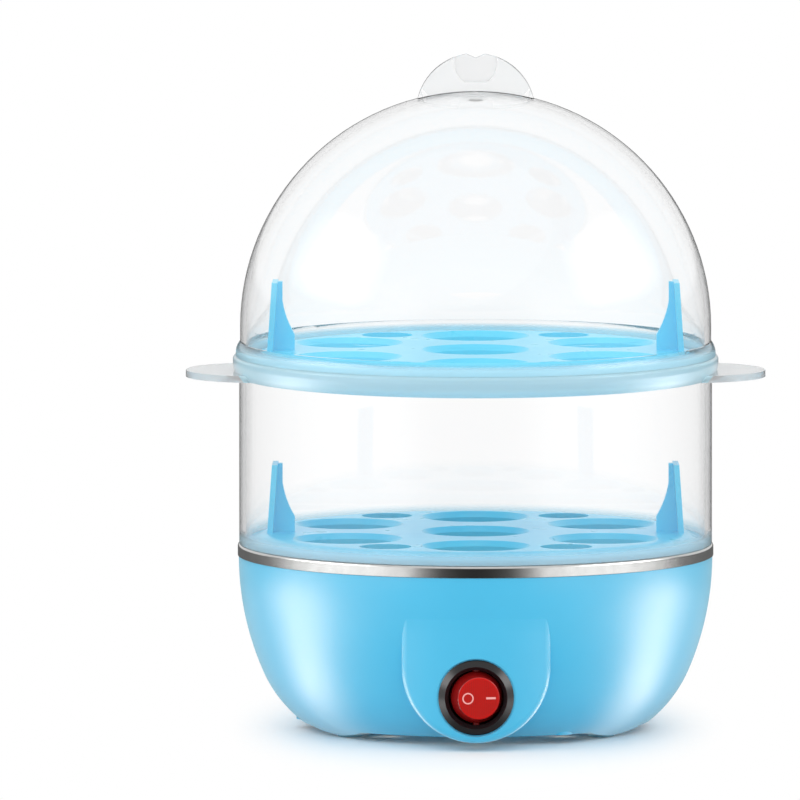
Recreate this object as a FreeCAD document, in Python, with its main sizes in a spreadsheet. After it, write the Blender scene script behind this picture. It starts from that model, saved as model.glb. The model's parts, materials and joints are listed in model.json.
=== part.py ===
import FreeCAD, Part
import Sketcher
import math
import os
from types import SimpleNamespace

# Two-tier electric egg cooker, in millimetres, +Z up.
# The origin is on the ground under the axis of the bowl. The switch faces -Y, the ears point along X.

SIZES = {
    # base shell
    "body_radius": 78.0,
    "band_proud": 0.3,
    "shell_top": 56.8,
    "shell_wall": 2.4,
    "ground_gap": 2.7,
    "belly_radius": 95.0,
    "chine_level": 18.8,
    "chine_radius": 42.0,
    "floor_width": 21.4,
    "foot_half_width": 15.0,
    "foot_angle": 34.0,
    "pad_proud": 0.6,
    "pad_margin": 0.85,
    "pad_gauge": 1.4,
    # switch apron and rear gland
    "apron_inset": 1.4,
    "apron_half_width": 24.2,
    "apron_drop": 0.2,
    "apron_cover": 10.8,
    "apron_edge": 2.4,
    "apron_blend": 65.0,
    "apron_blend_rise": 6.8,
    "seat_depth": 1.1,
    "panel_wall": 3.6,
    "gland_boss_radius": 9.0,
    "gland_boss_inset": 7.1,
    "gland_level": 17.6,
    "cord_bore": 3.2,
    "grommet_wall": 1.9,
    "grommet_flange": 7.2,
    "grommet_flange_gauge": 2.0,
    "grommet_barb": 0.9,
    # bottom cover and the screws
    "cover_overlap": 8.0,
    "cover_gauge": 1.6,
    "cover_spigot_height": 4.4,
    "cover_spigot_wall": 1.8,
    "boss_radius": 3.4,
    "boss_height": 8.0,
    "cover_screw_radius": 1.3,
    "cover_screw_length": 8.5,
    "cover_head_radius": 2.8,
    "post_radius": 4.8,
    "post_inset": 3.4,
    "standoff_length": 9.2,
    "post_web": 6.0,
    "pan_screw_radius": 1.6,
    "pan_screw_grip": 6.0,
    "pan_head_radius": 3.3,
    "pan_head_height": 2.4,
    "standoff_radius": 3.5,
    # heating pan
    "pan_gauge": 0.8,
    "band_height": 4.0,
    "seam": 0.15,
    "pan_depth": 14.8,
    "rim_width": 7.0,
    "pan_corner": 9.0,
    "rim_bend": 1.6,
    "band_bend": 1.0,
    "gasket_gauge": 0.8,
    # heater
    "heater_plate_radius": 42.0,
    "heater_plate_gauge": 4.0,
    "tube_ring_radius": 33.0,
    "tube_radius": 3.3,
    "tube_sink": 2.4,
    "tube_gap_angle": 40.0,
    "tube_leg": 10.0,
    "pin_radius": 1.1,
    "pin_length": 6.0,
    "bead_radius": 2.6,
    "bead_height": 2.5,
    # thermostat and fuse
    "cap_radius": 8.2,
    "cap_height": 3.0,
    "flange_length": 31.0,
    "flange_width": 8.0,
    "flange_gauge": 0.8,
    "flange_pitch": 12.0,
    "stat_screw_radius": 1.5,
    "stat_head_radius": 2.6,
    "stat_head_height": 1.8,
    "stat_radius": 7.8,
    "stat_height": 10.0,
    "stat_pitch": 4.7,
    "fuse_radius": 2.0,
    "fuse_length": 11.0,
    "clamp_gap": 1.3,
    "sleeve_wall": 0.6,
    "sleeve_length": 18.0,
    "clamp_gauge": 0.7,
    "clamp_width": 7.0,
    "clamp_ear": 5.0,
    # rocker switch
    "switch_level": 17.6,
    "bezel_radius": 12.3,
    "bezel_height": 2.2,
    "bezel_edge": 0.6,
    "bezel_land": 10.2,
    "barrel_radius": 10.0,
    "barrel_wall": 1.0,
    "barrel_depth": 17.0,
    "barrel_floor": 1.8,
    "pivot_depth": 2.6,
    "pivot_radius": 1.2,
    "pivot_end_gap": 0.4,
    "rocker_gap": 0.55,
    "rocker_flare": 1.45,
    "rocker_front": 5.4,
    "rocker_shoulder": 1.4,
    "rocker_root": 2.0,
    "rocker_skin": 1.5,
    "rocker_edge": 0.5,
    "rocker_tilt": 10.0,
    "plunger_radius": 1.35,
    "plunger_reach": 6.5,
    "plunger_tube_wall": 0.75,
    "lamp_radius": 1.4,
    "lamp_length": 5.0,
    "lever_half_length": 6.8,
    "lever_width": 4.0,
    "lever_gauge": 0.8,
    "lever_tilt": 6.5,
    "lever_boss": 1.1,
    "terminal_pitch": 6.0,
    "blade_width": 4.8,
    "blade_gauge": 0.8,
    "blade_length": 8.0,
    "spade_width": 6.6,
    "spade_thickness": 3.0,
    "spade_length": 9.5,
    # egg racks
    "rack_rise": 3.8,
    "rack_gauge": 1.9,
    "rack_flange": 1.6,
    "shoulder_run": 6.4,
    "flange_land": 0.9,
    "skirt_depth": 4.0,
    "skirt_wall": 1.5,
    "egg_hole_radius": 16.0,
    "egg_bevel": 1.8,
    "egg_margin": 3.6,
    "egg_collar_wall": 1.6,
    "egg_collar_depth": 2.4,
    "vent_radius": 8.4,
    "vent_margin": 0.8,
    "fin_height": 22.4,
    "fin_outset": 0.4,
    "fin_root_width": 8.9,
    "fin_lean": 1.6,
    "fin_tip_width": 3.3,
    "fin_waist_low": 5.0,
    "fin_waist_high": 16.0,
    "fin_scoop": 30.0,
    "fin_web": 3.0,
    "fin_flange": 1.8,
    "fin_flange_width": 15.0,
    # steam ring
    "ring_inset": 0.5,
    "ring_wall": 1.9,
    "tier_height": 59.8,
    "ledge_gauge": 2.2,
    "ledge_width": 2.7,
    "collar_flare": 2.1,
    "collar_wall": 2.2,
    "collar_lip": 2.0,
    "collar_edge": 1.2,
    "flare_height": 4.6,
    "collar_height": 6.9,
    "ear_radius": 24.0,
    "ear_overhang": 17.5,
    "ear_gauge": 2.2,
    "ear_drop": 2.8,
    # dome lid
    "dome_inset": 2.4,
    "dome_lift": 9.4,
    "dome_wall": 1.9,
    "lid_flare_top": 4.6,
    "lid_flare_low": 0.6,
    "lid_foot_inset": 0.9,
    "spigot_drop": 1.5,
    "spigot_wall": 1.2,
    "tab_radius": 19.6,
    "tab_height": 12.6,
    "tab_gauge": 3.6,
    "tab_notch_width": 6.0,
    "tab_notch_depth": 1.3,
    "tab_recess_radius": 6.85,
    "tab_recess_low": 3.4,
    "tab_recess_bend": 9.1,
    "tab_recess_depth": 0.9,
    "tab_recess_flat": 3.8,
    "steam_vent_radius": 2.5,
    "steam_vent_offset": 14.0,
    # wires
    "wire_radius": 1.2,
    "wire_slack": 10.0,
    "wire_spread": 26.0,
    "wire_low": 9.0,
    "wire_bed": 5.7,
    "crimp_wall": 0.8,
    "crimp_length": 6.0,
    "splice_radius": 3.0,
    "splice_length": 12.0,
    # clearances
    "hair": 0.05,
    "snug": 0.1,
    "fit": 0.3,
    "loose": 0.5,
}

doc = FreeCAD.newDocument("EggCooker")
sheet = doc.addObject("Spreadsheet::Sheet", "Sizes")


class Size:
    """A number with the sheet formula that gives it, so that what is bound to it follows the sheet."""

    def __init__(self, number, formula=None):
        self.number = float(number)
        self.formula = formula or repr(float(number))

    def __add__(self, other):
        other = as_size(other)
        return Size(self.number + other.number, f"({self.formula} + {other.formula})")

    def __sub__(self, other):
        other = as_size(other)
        return Size(self.number - other.number, f"({self.formula} - {other.formula})")

    def __mul__(self, other):
        other = as_size(other)
        return Size(self.number * other.number, f"({self.formula} * {other.formula})")

    def __truediv__(self, other):
        other = as_size(other)
        return Size(self.number / other.number, f"({self.formula} / {other.formula})")

    def __neg__(self):
        return Size(-self.number, f"(0 - {self.formula})")

    def __radd__(self, other):
        return as_size(other) + self

    def __rsub__(self, other):
        return as_size(other) - self

    def __rmul__(self, other):
        return as_size(other) * self


def as_size(value):
    return value if isinstance(value, Size) else Size(value)


def square(value):
    return Size(value.number ** 2, f"({value.formula})^2")


def root(value):
    return Size(math.sqrt(value.number), f"sqrt({value.formula})")


def cosine(angle):
    angle = as_size(angle)
    return Size(math.cos(math.radians(angle.number)), f"cos({angle.formula})")


def sine(angle):
    angle = as_size(angle)
    return Size(math.sin(math.radians(angle.number)), f"sin({angle.formula})")


s = SimpleNamespace()
for row, (alias, number) in enumerate(SIZES.items(), start=1):
    sheet.set(f"A{row}", alias)
    sheet.set(f"B{row}", str(number))
    sheet.setAlias(f"B{row}", alias)
    setattr(s, alias, Size(number, f"Sizes.{alias}"))
doc.recompute()

ZERO = Size(0)
UP = FreeCAD.Vector(0, 0, 1)
DOWN = FreeCAD.Vector(0, 0, -1)
FORWARD = FreeCAD.Vector(0, -1, 0)
BACKWARD = FreeCAD.Vector(0, 1, 0)
SIDEWAYS = FreeCAD.Vector(1, 0, 0)
LEFT, RIGHT = 1, -1

subparts = []


def vector(x, y, z):
    return FreeCAD.Vector(as_size(x).number, as_size(y).number, as_size(z).number)


def bind(thing, name, value):
    """Tie a property to the sheet."""
    thing.setExpression(name, as_size(value).formula)


def place(thing, x=ZERO, y=ZERO, z=ZERO, rotation=None):
    thing.Placement = FreeCAD.Placement(vector(x, y, z), rotation or FreeCAD.Rotation())
    for axis, value in zip("xyz", (x, y, z)):
        bind(thing, f"Placement.Base.{axis}", value)
    return thing


def subpart(thing, label):
    """Mark a finished piece: its label names its file."""
    thing.Label = label
    subparts.append(thing)
    return thing


# Sketches and features

def new_body(name):
    return doc.addObject("PartDesign::Body", name)


def new_sketch(body, plane, height):
    origin_plane = [item for item in body.Origin.OriginFeatures if item.Role == plane][0]
    sketch = body.newObject("Sketcher::SketchObject", "Profile")
    sketch.AttachmentSupport = [(origin_plane, "")]
    sketch.MapMode = "FlatFace"
    if height is not None:
        bind(sketch, "AttachmentOffset.Base.z", height)
    return sketch


def fix_point(sketch, geometry, position, x, y):
    """Tie one point of a sketch to the sheet, or to the axis that it lies on."""
    for value, kind, axis in ((x, "DistanceX", -2), (y, "DistanceY", -1)):
        value = as_size(value)
        if abs(value.number) < 1e-9:
            sketch.addConstraint(Sketcher.Constraint("PointOnObject", geometry, position, axis))
            continue
        index = sketch.addConstraint(Sketcher.Constraint(kind, -1, 1, geometry, position, value.number))
        bind(sketch, f"Constraints[{index}]", value)


def fix_radius(sketch, geometry, radius):
    radius = as_size(radius)
    index = sketch.addConstraint(Sketcher.Constraint("Radius", geometry, radius.number))
    bind(sketch, f"Constraints[{index}]", radius)


def bent_edge(start, end, radius, side):
    """The shorter arc from start to end, with its centre to the left or right of the way along it."""
    chord = end - start
    across = FreeCAD.Vector(-chord.y, chord.x, 0).normalize() * side
    depth = math.sqrt(max(radius ** 2 - (chord.Length / 2) ** 2, 0))
    crown = (start + end) * 0.5 + across * (depth - radius)
    return Part.Arc(start, crown, end)


def outline(body, plane, corners, height=None):
    """A closed sketch. A corner is (x, y), or (x, y, radius, side) where an arc leaves it."""
    sketch = new_sketch(body, plane, height)
    points = [vector(corner[0], corner[1], 0) for corner in corners]
    ends = []
    for index, corner in enumerate(corners):
        start, end = points[index], points[(index + 1) % len(points)]
        if len(corner) == 2:
            sketch.addGeometry(Part.LineSegment(start, end), False)
        else:
            sketch.addGeometry(bent_edge(start, end, as_size(corner[2]).number, corner[3]), False)
        forward = sketch.getPoint(index, 1).isEqual(start, 1e-6)
        ends.append((1, 2) if forward else (2, 1))
    for index, corner in enumerate(corners):
        following = (index + 1) % len(corners)
        joint = Sketcher.Constraint("Coincident", index, ends[index][1], following, ends[following][0])
        sketch.addConstraint(joint)
        fix_point(sketch, index, ends[index][0], corner[0], corner[1])
        if len(corner) > 2:
            fix_radius(sketch, index, corner[2])
    return sketch


def circles(body, plane, rounds, height=None):
    """A sketch of whole circles, each (x, y, radius)."""
    sketch = new_sketch(body, plane, height)
    for index, (x, y, radius) in enumerate(rounds):
        sketch.addGeometry(Part.Circle(vector(x, y, 0), UP, as_size(radius).number), False)
        fix_point(sketch, index, 3, x, y)
        fix_radius(sketch, index, radius)
    return sketch


def revolution(body, corners):
    feature = body.newObject("PartDesign::Revolution", "Turned")
    feature.Profile = outline(body, "XZ_Plane", corners)
    feature.ReferenceAxis = (feature.Profile[0], ["V_Axis"])
    feature.Angle = 360
    body.Tip = feature
    return feature


def pad(body, sketch, length, both_ways=False, backwards=False):
    feature = body.newObject("PartDesign::Pad", "Pad")
    feature.Profile = sketch
    feature.Midplane = both_ways
    feature.Reversed = backwards
    bind(feature, "Length", length)
    body.Tip = feature
    return feature


def pocket(body, sketch, depth, both_ways=False, backwards=False):
    doc.recompute()
    before = body.Shape.Volume
    feature = body.newObject("PartDesign::Pocket", "Pocket")
    feature.Profile = sketch
    feature.Midplane = both_ways
    feature.Reversed = backwards
    bind(feature, "Length", depth)
    body.Tip = feature
    doc.recompute()
    if body.Shape.Volume >= before:
        raise RuntimeError(f"a pocket in {body.Name} cuts nothing")
    return feature


def edges_where(shape, test):
    return [f"Edge{index}" for index, edge in enumerate(shape.Edges, start=1) if test(edge)]


def dress(body, kind, prop, value, test):
    """A fillet or chamfer on the edges of a body's tip that pass the test."""
    doc.recompute()
    base = body.Tip
    feature = body.newObject(f"PartDesign::{kind}", kind)
    feature.Base = (base, edges_where(base.Shape, test))
    bind(feature, prop, value)
    body.Tip = feature
    return feature


# Primitives and booleans

def cylinder(radius, height, x=ZERO, y=ZERO, z=ZERO, along=UP):
    thing = doc.addObject("Part::Cylinder", "Round")
    bind(thing, "Radius", radius)
    bind(thing, "Height", height)
    return place(thing, x, y, z, FreeCAD.Rotation(UP, along))


def cone(low_radius, high_radius, height, x=ZERO, y=ZERO, z=ZERO):
    thing = doc.addObject("Part::Cone", "Taper")
    bind(thing, "Radius1", low_radius)
    bind(thing, "Radius2", high_radius)
    bind(thing, "Height", height)
    return place(thing, x, y, z)


def block(length, width, height, x, y, z):
    """A box whose centre in plan is at x, y and whose underside is at z."""
    thing = doc.addObject("Part::Box", "Block")
    bind(thing, "Length", length)
    bind(thing, "Width", width)
    bind(thing, "Height", height)
    return place(thing, x - as_size(length) / 2, y - as_size(width) / 2, as_size(z))


def fuse(pieces):
    thing = doc.addObject("Part::MultiFuse", "Joined")
    thing.Shapes = pieces
    return thing


def cut(base, tools):
    thing = doc.addObject("Part::Cut", "Cut")
    thing.Base = base
    thing.Tool = tools[0] if len(tools) == 1 else fuse(tools)
    return thing


def common(first, second):
    thing = doc.addObject("Part::Common", "Common")
    thing.Base = first
    thing.Tool = second
    return thing


def group(pieces):
    thing = doc.addObject("Part::Compound", "Group")
    thing.Links = pieces
    return thing


def around(radius, angles):
    """Points on a circle about the axis, as x, y pairs."""
    return [(radius * cosine(angle), radius * sine(angle)) for angle in angles]


# Levels and radii that several pieces share

shell_radius = s.body_radius - s.band_proud
shell_floor = s.ground_gap + s.shell_wall
rim_top = s.shell_top + s.band_height
rim_under = rim_top - s.pan_gauge
lip_top = rim_under - s.gasket_gauge
lip_radius = s.body_radius - s.pan_gauge - s.fit
lip_inner = shell_radius - s.shell_wall
pan_radius = s.body_radius - s.rim_width
pan_floor = rim_top - s.pan_depth
pan_under = pan_floor - s.pan_gauge
post_top = pan_under - s.standoff_length
ring_outer = s.body_radius - s.ring_inset
ring_inner = ring_outer - s.ring_wall
rack_radius = ring_inner - s.loose
ledge_top = rim_top + s.tier_height
cover_low = s.ground_gap - s.cover_gauge
apron_radius = s.body_radius - s.apron_inset
apron_top = s.shell_top - s.apron_cover
seat_plane = apron_radius - s.seat_depth

# Base shell: the bowl is two tangent arcs, a long belly and a tighter chine above the ground

belly_centre = shell_radius - s.belly_radius
chine_x = belly_centre + root(square(s.belly_radius) - square(s.shell_top - s.chine_level))
chine_share = s.chine_radius / s.belly_radius
chine_centre_x = chine_x - (chine_x - belly_centre) * chine_share
chine_centre_z = s.chine_level + (s.shell_top - s.chine_level) * chine_share


def bowl_radius(level, inset):
    """Radius of the lower arc of the bowl at a level, inset from its outside."""
    return chine_centre_x + root(square(s.chine_radius - inset) - square(chine_centre_z - level))


bowl_foot = bowl_radius(s.ground_gap, ZERO)
sole_radius = bowl_radius(s.pad_proud, ZERO)
service_radius = bowl_foot - s.floor_width
wall_share = s.shell_wall / s.belly_radius

bowl = new_body("Bowl")
revolution(bowl, [
    (ZERO, s.pad_proud),
    (sole_radius, s.pad_proud, s.chine_radius, LEFT),
    (chine_x, s.chine_level, s.belly_radius, LEFT),
    (shell_radius, s.shell_top),
    (lip_radius, s.shell_top),
    (lip_radius, lip_top),
    (ZERO, lip_top),
])

hollow = new_body("Hollow")
revolution(hollow, [
    (ZERO, shell_floor),
    (bowl_radius(shell_floor, s.shell_wall), shell_floor, s.chine_radius - s.shell_wall, LEFT),
    (chine_x - (chine_x - belly_centre) * wall_share,
     s.chine_level + (s.shell_top - s.chine_level) * wall_share, s.belly_radius - s.shell_wall, LEFT),
    (lip_inner, s.shell_top),
    (lip_inner, lip_top + s.loose),
    (ZERO, lip_top + s.loose),
])


def apron_prism(name, half_width, low, start, depth):
    """The U of the switch apron, as a prism that points forward."""
    body = new_body(name)
    middle = low + half_width
    sketch = outline(body, "XZ_Plane", [
        (-half_width, apron_top),
        (-half_width, middle, half_width, LEFT),
        (ZERO, low, half_width, LEFT),
        (half_width, middle),
        (half_width, apron_top),
    ], height=start)
    pad(body, sketch, depth)
    return body


apron_low = s.ground_gap - s.apron_drop
apron_start = bowl_foot - s.shell_wall
apron_reach = s.apron_blend - root(square(s.apron_blend) - square(s.apron_blend_rise))
apron_face = new_body("ApronFace")
revolution(apron_face, [
    (ZERO, ZERO),
    (apron_radius, ZERO),
    (apron_radius, apron_top - s.apron_blend_rise, s.apron_blend, RIGHT),
    (apron_radius + apron_reach, apron_top),
    (ZERO, apron_top),
])
apron = common(
    apron_prism("Apron", s.apron_half_width, apron_low, apron_start, s.body_radius - apron_start),
    apron_face)
doc.recompute()


def on_apron_face(edge):
    middle = edge.valueAt((edge.FirstParameter + edge.LastParameter) / 2)
    flush = abs(math.hypot(middle.x, middle.y) - apron_radius.number) < 1e-4
    return flush and middle.z < (apron_top - s.apron_blend_rise).number - 1e-4


apron_rounded = doc.addObject("Part::Fillet", "ApronRounded")
apron_rounded.Base = apron
apron_rounded.Edges = [
    (int(name[4:]), s.apron_edge.number, s.apron_edge.number)
    for name in edges_where(apron.Shape, on_apron_face)
]

# The bowl runs down to the soles of four feet, and the ground gap is cut away between them

foot_drop = s.ground_gap - s.pad_proud
foot_curve = (square(s.foot_half_width) + square(foot_drop)) / (2 * foot_drop)
foot_inner = service_radius + s.cover_overlap + s.fit
foot_angles = [s.foot_angle, 180 - s.foot_angle, 180 + s.foot_angle, 360 - s.foot_angle]
pad_places = around((foot_inner + sole_radius) / 2, foot_angles)
pad_radius = (sole_radius - foot_inner) / 2 - s.pad_margin


def foot(x, y):
    """A bar that points out from the axis, whose round underside is the sole of one foot."""
    return cylinder(foot_curve, s.body_radius, x, y, s.pad_proud + foot_curve, vector(x, y, ZERO))


soles = [foot(x, y) for x, y in around(foot_inner, foot_angles)]
ground_relief = cut(cylinder(s.body_radius, s.ground_gap), soles)

gland_face = shell_radius - s.gland_boss_inset
gland_wall = gland_face - s.shell_wall
gland_boss = cylinder(s.gland_boss_radius, gland_face - service_radius,
                      y=service_radius, z=s.gland_level, along=BACKWARD)
gland_pit = cylinder(s.gland_boss_radius - s.shell_wall, gland_wall - service_radius,
                     y=service_radius, z=s.gland_level, along=BACKWARD)
housing = cut(
    fuse([cut(bowl, [ground_relief]), apron_rounded, gland_boss]),
    [hollow, gland_pit,
     apron_prism("ApronHollow", s.apron_half_width - s.shell_wall, apron_low + s.shell_wall,
                 service_radius, seat_plane - s.panel_wall - service_radius),
     cylinder(service_radius, shell_floor)])

post_places = around(bowl_foot - s.post_inset, [60, 180, 300])
boss_places = around(service_radius + s.cover_overlap / 2, [45, 135, 225, 315])
posts = [cylinder(s.post_radius, post_top - s.ground_gap, x, y, s.ground_gap) for x, y in post_places]
bosses = [cylinder(s.boss_radius, s.boss_height, x, y, s.ground_gap) for x, y in boss_places]
post_seat = post_top - s.post_web
shell_holes = [
    cylinder(s.barrel_radius + s.snug, s.body_radius, z=s.switch_level, along=FORWARD),
    cylinder(s.bezel_radius + s.loose, s.seat_depth + s.body_radius,
             y=-seat_plane, z=s.switch_level, along=FORWARD),
    cylinder(s.cord_bore + s.grommet_wall + s.snug, s.body_radius, z=s.gland_level, along=BACKWARD),
    cylinder(s.grommet_flange + s.fit, s.body_radius, y=gland_face, z=s.gland_level, along=BACKWARD),
]
for x, y in post_places:
    shell_holes.append(cylinder(s.pan_head_radius + s.fit, post_seat, x, y))
    shell_holes.append(cylinder(s.pan_screw_radius + s.fit, post_top + s.loose, x, y))
for x, y in boss_places:
    pilot_depth = cover_low + s.cover_screw_length + s.hair
    shell_holes.append(cylinder(s.cover_screw_radius + s.hair, pilot_depth, x, y))
for x, y in pad_places:
    shell_holes.append(cylinder(pad_radius + s.snug, s.pad_gauge + s.hair, x, y))
subpart(cut(fuse([housing] + posts + bosses), shell_holes), "base_shell")

# Foot pads, bottom cover and its screws

subpart(group([cylinder(pad_radius, s.pad_gauge, x, y) for x, y in pad_places]), "foot_pads")

cover_radius = service_radius + s.cover_overlap
spigot_radius = service_radius - s.fit
cover = new_body("Cover")
revolution(cover, [
    (ZERO, cover_low),
    (cover_radius, cover_low),
    (cover_radius, s.ground_gap),
    (spigot_radius, s.ground_gap),
    (spigot_radius, s.ground_gap + s.cover_spigot_height),
    (spigot_radius - s.cover_spigot_wall, s.ground_gap + s.cover_spigot_height),
    (spigot_radius - s.cover_spigot_wall, s.ground_gap),
    (ZERO, s.ground_gap),
])
sinks = [cone(s.cover_head_radius + s.snug, s.cover_screw_radius + s.snug, s.cover_gauge, x, y, cover_low)
         for x, y in boss_places]
subpart(cut(cover, sinks), "bottom_cover")


def cover_screw(x, y):
    head = cone(s.cover_head_radius, s.cover_screw_radius, s.cover_gauge, x, y, cover_low)
    shank = cylinder(s.cover_screw_radius, s.cover_screw_length, x, y, cover_low)
    return fuse([head, shank])


subpart(group([cover_screw(x, y) for x, y in boss_places]), "cover_screws")

# Heating pan: pressed steel, its rim rolled over the shell as the bright band

pan = new_body("Pan")
corner_level = pan_floor + s.pan_corner
bend_level = rim_top - s.rim_bend
bend_radius = pan_radius + s.rim_bend
subpart(pan, "heating_pan")
revolution(pan, [
    (ZERO, pan_floor),
    (pan_radius - s.pan_corner, pan_floor, s.pan_corner, LEFT),
    (pan_radius, corner_level),
    (pan_radius, bend_level, s.rim_bend, RIGHT),
    (bend_radius, rim_top),
    (s.body_radius - s.band_bend, rim_top, s.band_bend, RIGHT),
    (s.body_radius, rim_top - s.band_bend),
    (s.body_radius, s.shell_top + s.seam),
    (s.body_radius - s.pan_gauge, s.shell_top + s.seam),
    (s.body_radius - s.pan_gauge, rim_top - s.band_bend, s.band_bend - s.pan_gauge, LEFT),
    (s.body_radius - s.band_bend, rim_under),
    (bend_radius, rim_under, s.rim_bend - s.pan_gauge, LEFT),
    (pan_radius + s.pan_gauge, bend_level),
    (pan_radius + s.pan_gauge, corner_level, s.pan_corner + s.pan_gauge, RIGHT),
    (pan_radius - s.pan_corner, pan_under),
    (ZERO, pan_under),
])

subpart(cut(cylinder(lip_radius - s.snug, s.gasket_gauge, z=lip_top),
            [cylinder(lip_inner + s.snug, s.gasket_gauge, z=lip_top)]), "pan_gasket")


def standoff(x, y):
    column = cylinder(s.standoff_radius, s.standoff_length, x, y, post_top)
    thread = cylinder(s.pan_screw_radius + s.snug, s.pan_screw_grip + s.snug, x, y, post_top)
    return cut(column, [thread])


def pan_screw(x, y):
    head = cylinder(s.pan_head_radius, s.pan_head_height, x, y, post_seat - s.pan_head_height)
    shank = cylinder(s.pan_screw_radius, s.post_web + s.pan_screw_grip, x, y, post_seat)
    return fuse([head, shank])


subpart(group([standoff(x, y) for x, y in post_places]), "pan_standoffs")
subpart(group([pan_screw(x, y) for x, y in post_places]), "pan_screws")

# Heater: a spreader under the pan with the tubular element bedded in its groove

plate_low = pan_under - s.heater_plate_gauge
tube_level = plate_low + s.tube_sink - s.tube_radius
stat_screw_places = [(-s.flange_pitch, ZERO), (s.flange_pitch, ZERO)]
groove = doc.addObject("Part::Torus", "Groove")
bind(groove, "Radius1", s.tube_ring_radius)
bind(groove, "Radius2", s.tube_radius + s.snug)
place(groove, z=tube_level)
plate_holes = [cylinder(s.stat_screw_radius + s.hair, s.heater_plate_gauge, x, y, plate_low - s.loose)
               for x, y in stat_screw_places]
subpart(cut(cylinder(s.heater_plate_radius, s.heater_plate_gauge, z=plate_low), [groove] + plate_holes),
        "heater_plate")

ring_of_tube = doc.addObject("Part::Torus", "TubeRing")
bind(ring_of_tube, "Radius1", s.tube_ring_radius)
bind(ring_of_tube, "Radius2", s.tube_radius)
bind(ring_of_tube, "Angle3", 360 - s.tube_gap_angle)
half_gap = s.tube_gap_angle / 2
place(ring_of_tube, z=tube_level, rotation=FreeCAD.Rotation(UP, 90 + half_gap.number))
leg_places = around(s.tube_ring_radius, [90 + half_gap, 90 - half_gap])


def tube_leg(x, y):
    knee = doc.addObject("Part::Sphere", "Knee")
    bind(knee, "Radius", s.tube_radius)
    place(knee, x, y, tube_level)
    return fuse([knee, cylinder(s.tube_radius, s.tube_leg, x, y, tube_level, DOWN)])


subpart(fuse([ring_of_tube] + [tube_leg(x, y) for x, y in leg_places]), "heater_tube")

leg_end = tube_level - s.tube_leg
pin_end = leg_end - s.pin_length
subpart(group([cylinder(s.pin_radius, s.pin_length, x, y, leg_end, DOWN) for x, y in leg_places]),
        "heater_pins")
subpart(group([cut(cylinder(s.bead_radius, s.bead_height, x, y, leg_end, DOWN),
                   [cylinder(s.pin_radius + s.hair, s.bead_height, x, y, leg_end, DOWN)])
               for x, y in leg_places]), "heater_beads")

# Thermostat against the middle of the spreader, held by two screws through its flange

cap_low = plate_low - s.cap_height
stat_low = cap_low - s.stat_height
cap_flange = block(s.flange_length, s.flange_width, s.flange_gauge, ZERO, ZERO, cap_low)
flange_holes = [cylinder(s.stat_screw_radius + s.hair, s.flange_gauge, x, y, cap_low)
                for x, y in stat_screw_places]
cap_cup = cylinder(s.cap_radius, s.cap_height, z=cap_low)
subpart(cut(fuse([cap_cup, cap_flange]), flange_holes), "thermostat_cap")
subpart(cylinder(s.stat_radius, s.stat_height, z=stat_low), "thermostat_body")


def stat_screw(x, y):
    head = cylinder(s.stat_head_radius, s.stat_head_height, x, y, cap_low, DOWN)
    shank = cylinder(s.stat_screw_radius, s.cap_height + s.heater_plate_gauge / 2, x, y, cap_low)
    return fuse([head, shank])


subpart(group([stat_screw(x, y) for x, y in stat_screw_places]), "thermostat_screws")

stat_blades = [block(s.blade_gauge, s.blade_width, s.blade_length, side * s.stat_pitch, ZERO,
                     stat_low - s.blade_length) for side in (-1, 1)]
subpart(group(stat_blades), "thermostat_terminals")

# Thermal fuse in its sleeve, strapped under the spreader behind the switch

sleeve_radius = s.fuse_radius + s.sleeve_wall + s.hair
saddle_radius = sleeve_radius + s.hair + s.clamp_gauge
fuse_level = plate_low - sleeve_radius - s.hair
fuse_y = s.tube_radius + s.clamp_gap + saddle_radius + s.clamp_ear - s.tube_ring_radius


def along_fuse(radius, length):
    return cylinder(radius, length, -(length / 2), fuse_y, fuse_level, SIDEWAYS)


subpart(along_fuse(s.fuse_radius, s.fuse_length), "thermal_fuse")
sleeve_bore = along_fuse(s.fuse_radius + s.hair, s.sleeve_length)
subpart(cut(along_fuse(sleeve_radius, s.sleeve_length), [sleeve_bore]), "fuse_sleeve")
below_fuse = block(s.clamp_width, 2 * saddle_radius, saddle_radius, ZERO, fuse_y, fuse_level - saddle_radius)
saddle = common(along_fuse(saddle_radius, s.clamp_width), below_fuse)
cheeks = block(s.clamp_width, 2 * saddle_radius, plate_low - fuse_level, ZERO, fuse_y, fuse_level)
strap_ears = block(s.clamp_width, 2 * (saddle_radius + s.clamp_ear), s.clamp_gauge, ZERO, fuse_y,
                   plate_low - s.clamp_gauge)
channel_radius = sleeve_radius + s.hair
channel = [along_fuse(channel_radius, s.clamp_width),
           block(s.clamp_width, 2 * channel_radius, plate_low - fuse_level, ZERO, fuse_y, fuse_level)]
subpart(cut(fuse([saddle, cheeks, strap_ears]), channel), "fuse_clamp")

# Cord grommet in the rear boss

grommet_radius = s.cord_bore + s.grommet_wall
barb_length = s.grommet_flange_gauge


def along_cord(radius, start, length):
    return cylinder(radius, length, y=start, z=s.gland_level, along=BACKWARD)


barb_start = gland_wall - barb_length
subpart(cut(
    fuse([along_cord(s.grommet_flange, gland_face, s.grommet_flange_gauge),
          along_cord(grommet_radius, barb_start, gland_face - barb_start),
          along_cord(grommet_radius + s.grommet_barb, barb_start, barb_length - s.hair)]),
    [along_cord(s.cord_bore, barb_start - s.loose, gland_face - barb_start + 2 * s.grommet_flange_gauge)]),
    "cord_grommet")

# Rocker switch. Its pieces are drawn with their axis along Z and turned to face forward.

FACE_FORWARD = FreeCAD.Rotation(SIDEWAYS, 90)


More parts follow.
